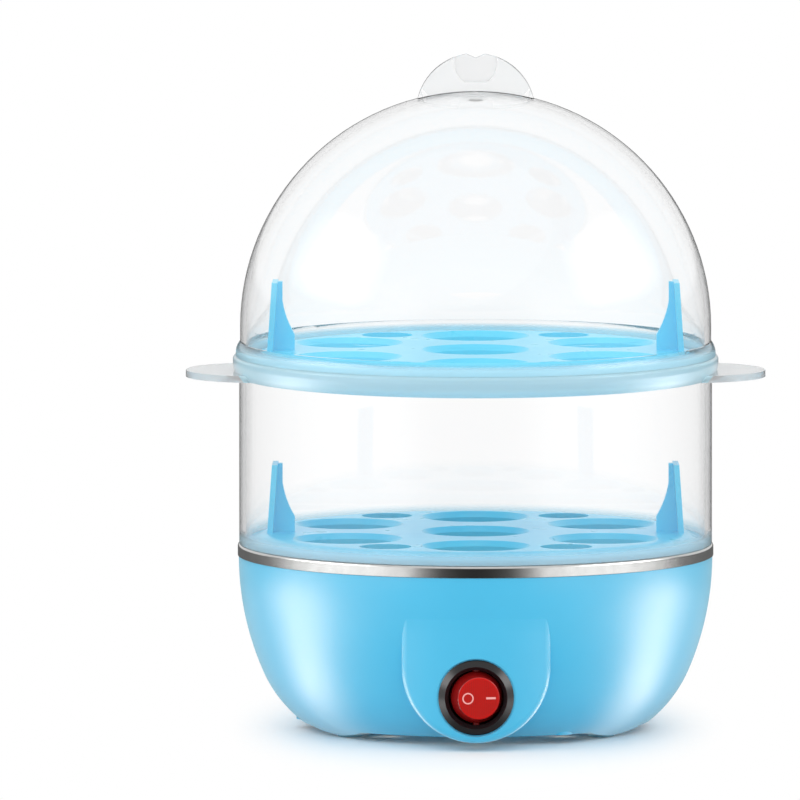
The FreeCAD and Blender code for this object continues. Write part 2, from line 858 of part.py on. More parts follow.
def in_switch(thing, depth=ZERO, tilt=0.0):
    """Set a piece drawn facing up into the switch, depth behind the seat, tilted about the upright."""
    turn = FACE_FORWARD.multiply(FreeCAD.Rotation(BACKWARD, tilt))
    return place(thing, ZERO, depth - seat_plane, s.switch_level, turn)


barrel_inner = s.barrel_radius - s.barrel_wall
rocker_radius = barrel_inner - s.rocker_gap
face_radius = rocker_radius - s.rocker_flare
barrel_low = -s.barrel_depth
barrel_inside = barrel_low + s.barrel_floor
pivot_level = -s.pivot_depth
switch_case = new_body("SwitchCase")
revolution(switch_case, [
    (ZERO, barrel_low),
    (s.barrel_radius, barrel_low),
    (s.barrel_radius, ZERO),
    (s.bezel_radius, ZERO),
    (s.bezel_radius, s.bezel_edge),
    (s.bezel_land, s.bezel_height),
    (barrel_inner, s.bezel_edge),
    (barrel_inner, barrel_inside),
    (ZERO, barrel_inside),
])
blade_slots = [block(s.blade_gauge + s.snug, s.blade_width + s.snug, s.barrel_floor, side * s.terminal_pitch,
                     ZERO, barrel_low) for side in (-1, 0, 1)]
pivot_hole = cylinder(s.pivot_radius + s.hair, 2 * s.barrel_radius, y=-s.barrel_radius, z=pivot_level,
                      along=BACKWARD)
subpart(in_switch(cut(switch_case, blade_slots + [pivot_hole])), "switch_housing")

plunger_bore = s.plunger_radius + s.hair
plunger_tube = plunger_bore + s.plunger_tube_wall
rocker_under = s.rocker_front - s.rocker_skin
rocker_form = new_body("RockerForm")
revolution(rocker_form, [
    (plunger_bore, -s.rocker_root),
    (plunger_tube, -s.rocker_root),
    (plunger_tube, rocker_under),
    (face_radius - s.rocker_skin, rocker_under),
    (rocker_radius - s.rocker_skin, s.rocker_shoulder),
    (rocker_radius - s.rocker_skin, -s.rocker_root),
    (rocker_radius, -s.rocker_root),
    (rocker_radius, s.rocker_shoulder),
    (face_radius, s.rocker_front - s.rocker_edge, s.rocker_edge, LEFT),
    (face_radius - s.rocker_edge, s.rocker_front),
    (ZERO, s.rocker_front),
    (ZERO, rocker_under),
    (plunger_bore, rocker_under),
])
pin_start = rocker_radius - s.rocker_skin / 2
pin_length = s.barrel_radius - s.pivot_end_gap - pin_start
rocker_pins = [cylinder(s.pivot_radius, pin_length, y=pin_start, along=BACKWARD),
               cylinder(s.pivot_radius, pin_length, y=-pin_start, along=FORWARD)]
rocker_tilt = s.rocker_tilt.number
subpart(in_switch(fuse([rocker_form] + rocker_pins), s.pivot_depth, rocker_tilt), "switch_rocker")

plunger_tip = doc.addObject("Part::Sphere", "PlungerTip")
bind(plunger_tip, "Radius", s.plunger_radius)
tip_level = s.plunger_radius - s.plunger_reach
place(plunger_tip, z=tip_level)
plunger = fuse([plunger_tip, cylinder(s.plunger_radius, rocker_under - tip_level - s.hair, z=tip_level)])
subpart(in_switch(plunger, s.pivot_depth, rocker_tilt), "rocker_plunger")

lamp_offset = plunger_tube + s.lamp_radius + s.snug
lamp_level = rocker_under - s.lamp_radius - s.snug
lamp = cylinder(s.lamp_radius, s.lamp_length, -(s.lamp_length / 2), lamp_offset, lamp_level, SIDEWAYS)
subpart(in_switch(group([lamp]), s.pivot_depth, rocker_tilt), "neon_lamp")

# The see-saw contact rocks on the middle terminal and tips the other way from the rocker

lever_front = s.plunger_reach + s.fit
lever_axis = lever_front + s.lever_gauge + s.lever_boss / 2
lever_plate = block(2 * s.lever_half_length, s.lever_width, s.lever_gauge, ZERO, ZERO, s.lever_boss / 2)
lever_knuckle = cylinder(s.lever_boss, s.lever_width, y=-(s.lever_width / 2), along=BACKWARD)
lever = fuse([lever_plate, lever_knuckle])
lever_depth = s.pivot_depth + lever_axis
subpart(in_switch(lever, lever_depth, -s.lever_tilt.number), "contact_lever")

contact_drop = s.terminal_pitch * sine(s.lever_tilt) + s.snug
contact_top = s.lever_boss / 2 - contact_drop
blade_end = barrel_low - s.blade_length
end_post_length = contact_top - lever_depth - blade_end
end_posts = [block(s.blade_gauge, s.blade_width, end_post_length, side * s.terminal_pitch, ZERO, blade_end)
             for side in (-1, 1)]
cradle_width = 2 * (s.lever_boss + s.blade_gauge)
cradle = cut(block(cradle_width, s.lever_width, s.lever_boss + s.blade_gauge, ZERO, ZERO,
                   -lever_depth - s.lever_boss - s.blade_gauge),
             [cylinder(s.lever_boss + s.hair, s.lever_width, y=-(s.lever_width / 2), z=-lever_depth,
                       along=BACKWARD)])
middle_post = block(s.blade_gauge, s.blade_width, -lever_depth - s.lever_boss - s.blade_gauge / 2 - blade_end,
                    ZERO, ZERO, blade_end)
subpart(in_switch(group(end_posts + [fuse([cradle, middle_post])])), "switch_terminals")

# Push-on connectors on the blades of the switch and the thermostat

def spade(x):
    """A connector on a blade that points down from the origin."""
    shell = block(s.spade_thickness, s.spade_width, s.spade_length, x, ZERO, -s.spade_length - s.loose)
    slot = block(s.blade_gauge + s.snug, s.blade_width + s.snug, s.blade_length - s.loose + s.snug, x, ZERO,
                 -s.blade_length - s.snug)
    return cut(shell, [slot])


spade_end = s.spade_length + s.loose
switch_spades = in_switch(group([spade(-s.terminal_pitch), spade(ZERO)]), s.barrel_depth)
stat_spades = place(group([spade(-s.stat_pitch), spade(s.stat_pitch)]), z=stat_low)
subpart(group([switch_spades, stat_spades]), "spade_connectors")

crimp_radius = s.pin_radius + s.hair + s.crimp_wall
crimp_top = leg_end - s.bead_height - s.hair


def crimp(x, y):
    barrel = cylinder(crimp_radius, s.crimp_length, x, y, crimp_top, DOWN)
    socket = cylinder(s.pin_radius + s.hair, crimp_top - pin_end + s.hair, x, y, crimp_top, DOWN)
    return cut(barrel, [socket])


subpart(group([crimp(x, y) for x, y in leg_places]), "pin_crimps")
crimp_end = crimp_top - s.crimp_length

# Splices where the cores of the mains cord would be joined, inside the gland

splice_x = s.cord_bore + s.splice_radius
splice_y = service_radius


def splice(x):
    cap = cylinder(s.splice_radius, s.splice_length, x, splice_y, s.gland_level, BACKWARD)
    socket = cylinder(s.wire_radius + s.snug, s.splice_length / 2, x, splice_y + s.splice_length / 2,
                      s.gland_level, BACKWARD)
    return cut(cap, [socket])


subpart(group([splice(-splice_x), splice(splice_x)]), "splice_caps")


# Internal wires: straight runs joined by tangent arcs

BEND_SHARE = 0.45


def lead(label, route):
    """A wire along a route; each bend takes up its share of the shorter run beside it."""
    points = [vector(*point) for point in route]
    here = points[0]
    edges = []
    bends = []
    for before, corner, after in zip(points, points[1:], points[2:]):
        way_in = corner - before
        way_out = after - corner
        reach = BEND_SHARE * min(way_in.Length, way_out.Length)
        half_turn = way_in.getAngle(way_out) / 2
        way_in.normalize()
        way_out.normalize()
        inward = (way_out - way_in).normalize()
        bend = reach / math.tan(half_turn)
        bends.append(bend)
        crown = corner + inward * (bend / math.cos(half_turn) - bend)
        start = corner - way_in * reach
        end = corner + way_out * reach
        edges += [Part.LineSegment(here, start).toShape(), Part.Arc(start, crown, end).toShape()]
        here = end
    edges.append(Part.LineSegment(here, points[-1]).toShape())
    path = Part.Wire(edges)
    section = Part.Wire([Part.makeCircle(s.wire_radius.number, points[0], points[1] - points[0])])
    wire = doc.addObject("Part::Feature", "Lead")
    wire.Shape = path.makePipeShell([section], True, False)
    expected = math.pi * s.wire_radius.number ** 2 * path.Length
    share = wire.Shape.Volume / expected
    print(f"{label}: {path.Length:.1f} mm long, {share:.3f} of its section times length, "
          f"tightest bend {min(bends):.1f} mm")
    return subpart(wire, label)


switch_exit = s.barrel_depth + spade_end - seat_plane
stat_exit = stat_low - spade_end
(pin_left_x, pin_y), (pin_right_x, _) = leg_places
sleeve_end = s.sleeve_length / 2
lead("switched_lead", [
    (-s.terminal_pitch, switch_exit, s.switch_level),
    (-s.terminal_pitch, switch_exit + s.wire_slack, s.switch_level),
    (-s.stat_pitch, -s.wire_slack, s.wire_low),
    (-s.stat_pitch, ZERO, s.wire_low),
    (-s.stat_pitch, ZERO, stat_exit),
])
lead("element_lead", [
    (s.stat_pitch, ZERO, stat_exit),
    (s.stat_pitch, ZERO, s.wire_low),
    (pin_right_x, pin_y, s.wire_low),
    (pin_right_x, pin_y, crimp_end),
])
lead("fuse_lead", [
    (pin_left_x, pin_y, crimp_end),
    (pin_left_x, pin_y, s.wire_low),
    (-s.wire_spread, ZERO, s.gland_level),
    (-sleeve_end - s.wire_slack, fuse_y, fuse_level),
    (-(s.fuse_length / 2), fuse_y, fuse_level),
])
lead("neutral_lead", [
    (s.fuse_length / 2, fuse_y, fuse_level),
    (sleeve_end + s.wire_slack, fuse_y, fuse_level),
    (s.wire_spread, ZERO, s.gland_level),
    (splice_x, splice_y - s.wire_slack, s.gland_level),
    (splice_x, splice_y, s.gland_level),
])
lead("live_lead", [
    (ZERO, switch_exit, s.switch_level),
    (ZERO, switch_exit + s.wire_slack, s.switch_level),
    (ZERO, fuse_y, s.wire_bed),
    (ZERO, s.wire_slack, s.wire_bed),
    (-splice_x, splice_y - s.wire_slack, s.gland_level),
    (-splice_x, splice_y, s.gland_level),
])

# Egg racks: a plate with seven bevelled egg holes, steam holes between them and two lifting fins

EGG_ANGLES = [-90, -30, 30, 90, 150, 210]
VENT_ANGLES = [-60, -120, 60, 120]
plate_under = s.rack_rise - s.rack_gauge
shoulder_drop = s.rack_rise - s.rack_flange
shoulder_start = rack_radius - s.flange_land - s.shoulder_run
shoulder_middle = shoulder_start + s.shoulder_run / 2
shoulder_level = s.rack_rise - shoulder_drop / 2
shoulder_bend = (square(s.shoulder_run) + square(shoulder_drop)) / (4 * shoulder_drop)
skirt_radius = pan_radius - s.fit
skirt_inner = skirt_radius - s.skirt_wall
egg_ring_radius = skirt_inner - s.egg_collar_wall - s.egg_hole_radius - s.egg_margin
vent_ring_radius = shoulder_start - s.vent_radius - s.vent_margin
fin_root_outer = shoulder_start + s.fin_outset
fin_root_inner = fin_root_outer - s.fin_root_width
fin_tip_outer = fin_root_outer - s.fin_lean
fin_tip_inner = fin_tip_outer - s.fin_tip_width
fin_top = s.rack_rise + s.fin_height
fin_sunk = s.rack_rise - s.rack_gauge / 2


def egg_rack(label, level):
    body = new_body("Rack")
    revolution(body, [
        (ZERO, plate_under),
        (skirt_inner, plate_under),
        (skirt_inner, -s.skirt_depth),
        (skirt_radius, -s.skirt_depth),
        (skirt_radius, ZERO),
        (rack_radius, ZERO),
        (rack_radius, s.rack_flange),
        (rack_radius - s.flange_land, s.rack_flange, shoulder_bend, RIGHT),
        (shoulder_middle, shoulder_level, shoulder_bend, LEFT),
        (shoulder_start, s.rack_rise),
        (ZERO, s.rack_rise),
    ])
    egg_places = [(ZERO, ZERO)] + around(egg_ring_radius, EGG_ANGLES)
    collar = s.egg_hole_radius + s.egg_collar_wall
    pad(body, circles(body, "XY_Plane", [(x, y, collar) for x, y in egg_places], height=plate_under),
        s.egg_collar_depth, backwards=True)
    pocket(body, circles(body, "XY_Plane", [(x, y, s.egg_hole_radius) for x, y in egg_places],
                         height=s.rack_rise), s.rack_gauge + s.egg_collar_depth)

    def egg_mouth(edge):
        rim = edge.Curve
        if not isinstance(rim, Part.Circle) or abs(rim.Radius - s.egg_hole_radius.number) > 1e-6:
            return False
        return abs(rim.Center.z - s.rack_rise.number) < 1e-6

    dress(body, "Chamfer", "Size", s.egg_bevel, egg_mouth)
    vents = [(x, y, s.vent_radius) for x, y in around(vent_ring_radius, VENT_ANGLES)]
    pocket(body, circles(body, "XY_Plane", vents, height=s.rack_rise), s.rack_gauge)
    for side in (1, -1):
        scoop_side = RIGHT if side > 0 else LEFT
        pad(body, outline(body, "XZ_Plane", [
            (side * fin_root_inner, fin_sunk),
            (side * fin_root_inner, s.rack_rise + s.fin_waist_low, s.fin_scoop, -scoop_side),
            (side * fin_tip_inner, s.rack_rise + s.fin_waist_high),
            (side * fin_tip_inner, fin_top),
            (side * fin_tip_outer, fin_top),
            (side * fin_root_outer, fin_sunk),
        ]), s.fin_web, both_ways=True)
        pad(body, outline(body, "XZ_Plane", [
            (side * (fin_root_outer - s.fin_flange), fin_sunk),
            (side * (fin_tip_outer - s.fin_flange), fin_top),
            (side * fin_tip_outer, fin_top),
            (side * fin_root_outer, fin_sunk),
        ]), s.fin_flange_width, both_ways=True)
    return subpart(place(body, z=level), label)


egg_rack("lower_egg_rack", rim_top)
egg_rack("upper_egg_rack", ledge_top)

# Steam ring: a clear tube that stands on the pan's rim, with a ledge for the upper rack and two ears

collar_outer = ring_outer + s.collar_flare
collar_inner = collar_outer - s.collar_wall
collar_top = ledge_top + s.collar_lip
collar_low = collar_top - s.collar_height
collar_sweep = (square(s.flare_height) + square(s.collar_flare)) / (2 * s.collar_flare)
ledge_under = ledge_top - s.ledge_gauge
ear_centre = ring_outer + s.ear_overhang - s.ear_radius
ear_root = ring_outer - s.ring_wall / 2
ear_root_x = (square(ear_root) - square(s.ear_radius) + square(ear_centre)) / (2 * ear_centre)
ear_root_y = root(square(ear_root) - square(ear_root_x))
ear_level = ledge_under - s.ear_drop

ring = new_body("Ring")
subpart(ring, "steam_ring")
revolution(ring, [
    (ring_inner, rim_top),
    (ring_outer, rim_top),
    (ring_outer, collar_low, collar_sweep, LEFT),
    (collar_outer, collar_low + s.flare_height),
    (collar_outer, collar_top - s.collar_edge, s.collar_edge, LEFT),
    (collar_outer - s.collar_edge, collar_top),
    (collar_inner, collar_top),
    (collar_inner, ledge_top),
    (rack_radius - s.ledge_width, ledge_top),
    (rack_radius - s.ledge_width, ledge_under),
    (ring_inner, ledge_under),
])
for side in (1, -1):
    turn = LEFT if side > 0 else RIGHT
    pad(ring, outline(ring, "XY_Plane", [
        (side * ear_root_x, -ear_root_y, s.ear_radius, turn),
        (side * ear_root_x, ear_root_y, ear_root, -turn),
    ], height=ear_level), s.ear_gauge)

# Dome lid: a clear hemisphere on a flared foot, with a spigot inside the collar and a finger tab on top

dome_radius = collar_outer - s.dome_inset
dome_inner = dome_radius - s.dome_wall
dome_middle = dome_radius - s.dome_wall / 2
dome_level = collar_top + s.dome_lift
dome_top = dome_level + dome_radius
flare_top = collar_top + s.lid_flare_top
flare_low = collar_top + s.lid_flare_low
lid_outer = collar_outer - s.lid_foot_inset
lid_step = lid_outer - dome_radius
lid_sweep = (square(flare_top - flare_low) + square(lid_step)) / (2 * lid_step)
spigot_outer = collar_inner - s.fit
spigot_inner = spigot_outer - s.spigot_wall
tab_top = dome_top + s.tab_height
tab_centre = tab_top - s.tab_radius
tab_half = s.tab_notch_width / 2
tab_shoulder = tab_centre + root(square(s.tab_radius) - square(tab_half))
tab_root_z = ((square(dome_middle) - square(dome_level)) - (square(s.tab_radius) - square(tab_centre))) / (
    2 * (tab_centre - dome_level))
tab_root_x = root(square(s.tab_radius) - square(tab_root_z - tab_centre))

lid = new_body("Lid")
subpart(lid, "dome_lid")
revolution(lid, [
    (ZERO, dome_top - s.dome_wall),
    (ZERO, dome_top, dome_radius, RIGHT),
    (dome_radius, dome_level),
    (dome_radius, flare_top, lid_sweep, RIGHT),
    (lid_outer, flare_low),
    (lid_outer, collar_top),
    (spigot_outer, collar_top),
    (spigot_outer, collar_top - s.spigot_drop),
    (spigot_inner, collar_top - s.spigot_drop),
    (spigot_inner, flare_low),
    (dome_inner, flare_top),
    (dome_inner, dome_level, dome_inner, LEFT),
])
pad(lid, outline(lid, "XZ_Plane", [
    (-tab_root_x, tab_root_z, dome_middle, RIGHT),
    (tab_root_x, tab_root_z, s.tab_radius, LEFT),
    (tab_half, tab_shoulder),
    (ZERO, tab_shoulder - s.tab_notch_depth),
    (-tab_half, tab_shoulder, s.tab_radius, LEFT),
]), s.tab_gauge, both_ways=True)
recess_low = dome_top + s.tab_recess_low
recess_bend = dome_top + s.tab_recess_bend
recess_top = tab_top + s.loose
for side in (1, -1):
    recess = outline(lid, "XZ_Plane", [
        (-s.tab_recess_flat, recess_low),
        (s.tab_recess_flat, recess_low, s.tab_recess_radius, LEFT),
        (s.tab_recess_radius, recess_bend),
        (s.tab_recess_radius, recess_top),
        (-s.tab_recess_radius, recess_top),
        (-s.tab_recess_radius, recess_bend, s.tab_recess_radius, LEFT),
    ], height=side * s.tab_gauge / 2)
    pocket(lid, recess, s.tab_recess_depth, backwards=side < 0)
vent = circles(lid, "XY_Plane", [(ZERO, s.steam_vent_offset, s.steam_vent_radius)], height=dome_top)
pocket(lid, vent, 3 * s.dome_wall)

# Check every object, then write each piece to its own file

doc.recompute()
for thing in doc.Objects:
    if "Invalid" in thing.State or "Error" in thing.State:
        raise RuntimeError(f"{thing.Label} failed: {thing.State}")
os.makedirs("parts", exist_ok=True)
for piece in subparts:
    if piece.Shape.isNull() or not piece.Shape.isValid():
        raise RuntimeError(f"{piece.Label} has no valid shape")
    piece.Shape.exportStep(f"parts/{piece.Label}.step")
print(f"{len(subparts)} pieces written")
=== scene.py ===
import json
import math

import bmesh
import bpy
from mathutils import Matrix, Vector


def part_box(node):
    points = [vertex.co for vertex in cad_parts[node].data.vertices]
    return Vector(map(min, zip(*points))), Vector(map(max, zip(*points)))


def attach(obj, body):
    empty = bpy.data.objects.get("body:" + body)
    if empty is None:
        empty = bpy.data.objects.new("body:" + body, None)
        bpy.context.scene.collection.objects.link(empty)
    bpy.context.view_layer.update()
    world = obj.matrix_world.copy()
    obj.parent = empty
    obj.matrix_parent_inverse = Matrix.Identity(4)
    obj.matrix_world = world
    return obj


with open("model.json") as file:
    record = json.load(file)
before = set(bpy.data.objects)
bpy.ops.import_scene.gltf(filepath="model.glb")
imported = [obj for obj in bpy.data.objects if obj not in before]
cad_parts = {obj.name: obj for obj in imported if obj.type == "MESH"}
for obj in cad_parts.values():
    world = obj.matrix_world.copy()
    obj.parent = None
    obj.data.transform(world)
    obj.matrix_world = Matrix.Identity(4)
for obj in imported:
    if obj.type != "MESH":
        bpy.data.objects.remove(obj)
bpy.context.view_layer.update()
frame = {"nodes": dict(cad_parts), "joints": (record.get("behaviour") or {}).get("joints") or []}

nodes = frame["nodes"]

# Base shell: the bowl-shaped housing with the switch apron and four moulded feet. One injection
# moulding in sky-blue ABS from a polished tool, so it is glossy with a faint orange peel.

SKY_BLUE = (0.062, 0.530, 0.830)
SKY_BLUE_DEEP = (0.056, 0.510, 0.805)
GLOSS_WARMTH = (1.0, 0.62, 0.26, 1.0)
EDGE_SHEEN = (0.66, 0.94, 1.0, 1.0)
DRIFT_FROM = 0.3
DRIFT_TO = 0.7
PLASTIC_SHADE_SCALE = 45.0
PLASTIC_GLOSS_SCALE = 90.0


def blank_material(name):
    """A new node material and its shader."""
    material = bpy.data.materials.new(name)
    material.use_nodes = True
    return material, material.node_tree.nodes["Principled BSDF"]


def speckle(material, scale, detail=3.0, stretch=(1.0, 1.0, 1.0)):
    """Noise laid through the piece in its own frame, so that it moves with the piece."""
    tree = material.node_tree
    place = tree.nodes.new("ShaderNodeTexCoord")
    mapping = tree.nodes.new("ShaderNodeMapping")
    mapping.inputs["Scale"].default_value = stretch
    noise = tree.nodes.new("ShaderNodeTexNoise")
    noise.inputs["Scale"].default_value = scale
    noise.inputs["Detail"].default_value = detail
    tree.links.new(place.outputs["Object"], mapping.inputs["Vector"])
    tree.links.new(mapping.outputs["Vector"], noise.inputs["Vector"])
    return noise.outputs["Fac"]


def shade_ramp(tree, factor, stops):
    """A colour ramp through (position, colour) stops."""
    ramp = tree.nodes.new("ShaderNodeValToRGB")
    marks = ramp.color_ramp.elements
    while len(marks) < len(stops):
        marks.new(0.5)
    for mark, (position, colour) in zip(marks, stops):
        mark.position = position
        mark.color = (*colour, 1.0)
    tree.links.new(factor, ramp.inputs["Fac"])
    return ramp.outputs["Color"]


def drift_colour(material, shader, grain, first, second):
    """Let the colour wander between two near shades."""
    colour = shade_ramp(material.node_tree, grain, [(DRIFT_FROM, first), (DRIFT_TO, second)])
    material.node_tree.links.new(colour, shader.inputs["Base Color"])


def drift_gloss(material, shader, grain, low, high):
    """Let the roughness wander between two values."""
    tree = material.node_tree
    span = tree.nodes.new("ShaderNodeMapRange")
    span.inputs["To Min"].default_value = low
    span.inputs["To Max"].default_value = high
    tree.links.new(grain, span.inputs["Value"])
    tree.links.new(span.outputs["Result"], shader.inputs["Roughness"])


def ripple(material, shader, grain, depth):
    """A shallow relief, depth in metres."""
    tree = material.node_tree
    bump = tree.nodes.new("ShaderNodeBump")
    bump.inputs["Distance"].default_value = depth
    tree.links.new(grain, bump.inputs["Height"])
    tree.links.new(bump.outputs["Normal"], shader.inputs["Normal"])


def moulded(name, first, second, gloss, peel, peel_scale):
    """Injection-moulded plastic: a little colour drift, uneven gloss and the skin of the tool."""
    material, shader = blank_material(name)
    drift_colour(material, shader, speckle(material, PLASTIC_SHADE_SCALE), first, second)
    drift_gloss(material, shader, speckle(material, PLASTIC_GLOSS_SCALE), *gloss)
    ripple(material, shader, speckle(material, peel_scale, detail=2.0), peel)
    return material


def finish_with(material, *names):
    """Put one material on CAD nodes."""
    for name in names:
        nodes[name].data.materials.clear()
        nodes[name].data.materials.append(material)


polished_blue = moulded("polished_blue_abs", SKY_BLUE, SKY_BLUE_DEEP,
                        gloss=(0.18, 0.24), peel=0.00001, peel_scale=260.0)
blue_shader = polished_blue.node_tree.nodes["Principled BSDF"]
blue_shader.inputs["Specular IOR Level"].default_value = 1.0
blue_shader.inputs["Specular Tint"].default_value = GLOSS_WARMTH
blue_shader.inputs["Sheen Weight"].default_value = 0.55
blue_shader.inputs["Sheen Roughness"].default_value = 0.5
blue_shader.inputs["Sheen Tint"].default_value = EDGE_SHEEN
finish_with(polished_blue, "base_shell")

# Foot pads: soft blue-grey rubber discs, pressed into the recess under each moulded foot. They
# are matt, so that the cooker doesn't slide on a wet worktop.

pad_rubber = moulded("pad_rubber", (0.22, 0.45, 0.56), (0.17, 0.38, 0.49),
                     gloss=(0.65, 0.85), peel=0.00004, peel_scale=1500.0)
finish_with(pad_rubber, "foot_pads")

# Switch housing: a black snap-in moulding, satin on its rounded bezel. Three brass blades are
# staked through its floor, and the middle one carries the see-saw contact.

METAL_SHADE_SCALE = 300.0
METAL_MARK_DEPTH = 0.000004


def bare_metal(name, first, second, gloss, scale, stretch):
    """A bare or plated metal with marks that run across the given stretch."""
    material, shader = blank_material(name)
    shader.inputs["Metallic"].default_value = 1.0
    drift_colour(material, shader, speckle(material, METAL_SHADE_SCALE), first, second)
    marks = speckle(material, scale, detail=4.0, stretch=stretch)
    drift_gloss(material, shader, marks, *gloss)
    ripple(material, shader, marks, METAL_MARK_DEPTH)
    return material


bezel_black = moulded("bezel_black", (0.005, 0.005, 0.006), (0.008, 0.008, 0.009),
                      gloss=(0.20, 0.26), peel=0.00001, peel_scale=500.0)
finish_with(bezel_black, "switch_housing")
contact_brass = bare_metal("contact_brass", (0.70, 0.50, 0.19), (0.78, 0.60, 0.28),
                           gloss=(0.2, 0.35), scale=1000.0, stretch=(1, 5, 1))
finish_with(contact_brass, "switch_terminals", "contact_lever")

# Rocker: a drum in clear red plastic that tips on two pins. Its flat face is a brighter red, a
# painted glow for the neon lamp that lights it from behind. Its sprung plunger is nylon.

ROCKER_FRONT = 0.0054
FACE_DEPTH = 0.0001

rocker_joint = next(joint for joint in frame["joints"] if joint["child"] == "rocker")
rocker_pivot = Vector(rocker_joint["pos_m"])
rocker_tilt = math.radians(max(rocker_joint["range_deg"]) / 2)
face_right = Vector((math.cos(rocker_tilt), math.sin(rocker_tilt), 0.0))
face_up = Vector((0.0, 0.0, 1.0))
face_out = Vector((math.sin(rocker_tilt), -math.cos(rocker_tilt), 0.0))


def finish_where(node, material, picked):
    """A second finish for the faces of a CAD node whose middle is picked."""
    mesh = nodes[node].data
    mesh.materials.append(material)
    place = nodes[node].matrix_world
    for face in mesh.polygons:
        if picked(place @ face.center):
            face.material_index = len(mesh.materials) - 1


drum_red = moulded("drum_red", (0.300, 0.008, 0.008), (0.230, 0.006, 0.006),
                   gloss=(0.14, 0.22), peel=0.00001, peel_scale=600.0)
finish_with(drum_red, "switch_rocker")
# The face is painted a brighter red than the drum, a painted glow of the lamp behind it.
rocker_face_painted_glow = moulded("rocker_face_painted_glow", (0.60, 0.005, 0.002), (0.50, 0.004, 0.002),
                     gloss=(0.10, 0.18), peel=0.00001, peel_scale=600.0)
finish_where("switch_rocker", rocker_face_painted_glow,
             lambda middle: (middle - rocker_pivot).dot(face_out) > ROCKER_FRONT - FACE_DEPTH)
neon_glass = moulded("neon_glass", (0.95, 0.50, 0.22), (0.90, 0.42, 0.18),
                     gloss=(0.05, 0.1), peel=0.00001, peel_scale=800.0)
finish_with(neon_glass, "neon_lamp")
nylon = moulded("grey_nylon", (0.36, 0.37, 0.38), (0.44, 0.45, 0.46),
                gloss=(0.35, 0.5), peel=0.00003, peel_scale=900.0)
finish_with(nylon, "rocker_plunger")

# Rocker marks: a ring for off and a bar for on, printed on the face in pale ink with a pad. The
# ink stands a few hundredths of a millimetre proud.

RING_PLACE = -0.00364
RING_OUTER = 0.00188
RING_STROKE = 0.00043
BAR_PLACE = 0.00395
BAR_LENGTH = 0.00316
BAR_STROKE = 0.00067
MARK_PROUD = 0.00003
MARK_SINK = 0.0001


def on_face(across, up, out):
    """A point on the rocker, measured from the middle of its face."""
    middle = rocker_pivot + face_out * ROCKER_FRONT
    return middle + face_right * across + face_up * up + face_out * out


def round_outline(radius, middle, count=48):
    """The points of a circle on the face, with its middle to one side."""
    turns = [2 * math.pi * step / count for step in range(count)]
    return [(middle + radius * math.cos(turn), radius * math.sin(turn)) for turn in turns]


def raised_strip(form, near, far, out):
    """A low closed strip between two outlines of the same length, raised above the face."""
    count = len(near)
    rows = []
    for level in (-MARK_SINK, out):
        rows.append([form.verts.new(on_face(*point, level)) for point in near])
        rows.append([form.verts.new(on_face(*point, level)) for point in far])
    low_near, low_far, top_near, top_far = rows
    sides = ((top_near, top_far), (top_far, low_far), (low_far, low_near), (low_near, top_near))
    for index in range(count):
        after = (index + 1) % count
        for first, second in sides:
            form.faces.new((first[index], first[after], second[after], second[index]))


def raised_tile(form, left, right, low, high, out):
    """A low closed tile raised above the face."""
    corners = ((left, low), (right, low), (right, high), (left, high))
    foot = [form.verts.new(on_face(*corner, -MARK_SINK)) for corner in corners]
    top = [form.verts.new(on_face(*corner, out)) for corner in corners]
    form.faces.new(top)
    form.faces.new(foot[::-1])
    for index in range(len(corners)):
        after = (index + 1) % len(corners)
        form.faces.new((foot[index], foot[after], top[after], top[index]))


def piece_from(form, name, material, body):
    """Close a form into a named piece that rides on a body."""
    bmesh.ops.recalc_face_normals(form, faces=form.faces)
    mesh = bpy.data.meshes.new(name)
    form.to_mesh(mesh)
    form.free()
    mesh.materials.append(material)
    piece = bpy.data.objects.new(name, mesh)
    bpy.context.scene.collection.objects.link(piece)
    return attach(piece, body)


marks = bmesh.new()
raised_strip(marks, round_outline(RING_OUTER, RING_PLACE),
             round_outline(RING_OUTER - RING_STROKE, RING_PLACE), MARK_PROUD)
raised_tile(marks, BAR_PLACE - BAR_LENGTH / 2, BAR_PLACE + BAR_LENGTH / 2,
            -BAR_STROKE / 2, BAR_STROKE / 2, MARK_PROUD)
mark_print = moulded("rocker_mark_print", (0.92, 0.46, 0.44), (0.88, 0.38, 0.36),
                     gloss=(0.35, 0.5), peel=0.000004, peel_scale=1500.0)
piece_from(marks, "rocker_marks", mark_print, "rocker")

# Rocker lens ribs: fine upright lines, moulded into the red face to spread the light of the lamp.
# They end a little inside its edge.

FACE_RADIUS = 0.0070
RIB_PITCH = 0.00062
RIB_WIDTH = 0.00016
RIB_PROUD = 0.000015
RIB_MARGIN = 0.0009

ribs = bmesh.new()
rib_reach = FACE_RADIUS - RIB_MARGIN
ribs_each_side = int(rib_reach / RIB_PITCH)
for step in range(-ribs_each_side, ribs_each_side + 1):
    across = step * RIB_PITCH
    half_height = math.sqrt(max(rib_reach ** 2 - across ** 2, RIB_WIDTH ** 2))
    raised_tile(ribs, across - RIB_WIDTH / 2, across + RIB_WIDTH / 2, -half_height, half_height, RIB_PROUD)
rib_red = moulded("rib_red", (0.42, 0.010, 0.006), (0.30, 0.008, 0.005),
                  gloss=(0.10, 0.18), peel=0.00001, peel_scale=600.0)
piece_from(ribs, "rocker_lens_ribs", rib_red, "rocker")

# Heater: a cast aluminium spreader under the pan, with the swaged element bedded in its groove
# and a white ceramic bead at each of its ends. Pins and standoffs are zinc-plated steel.

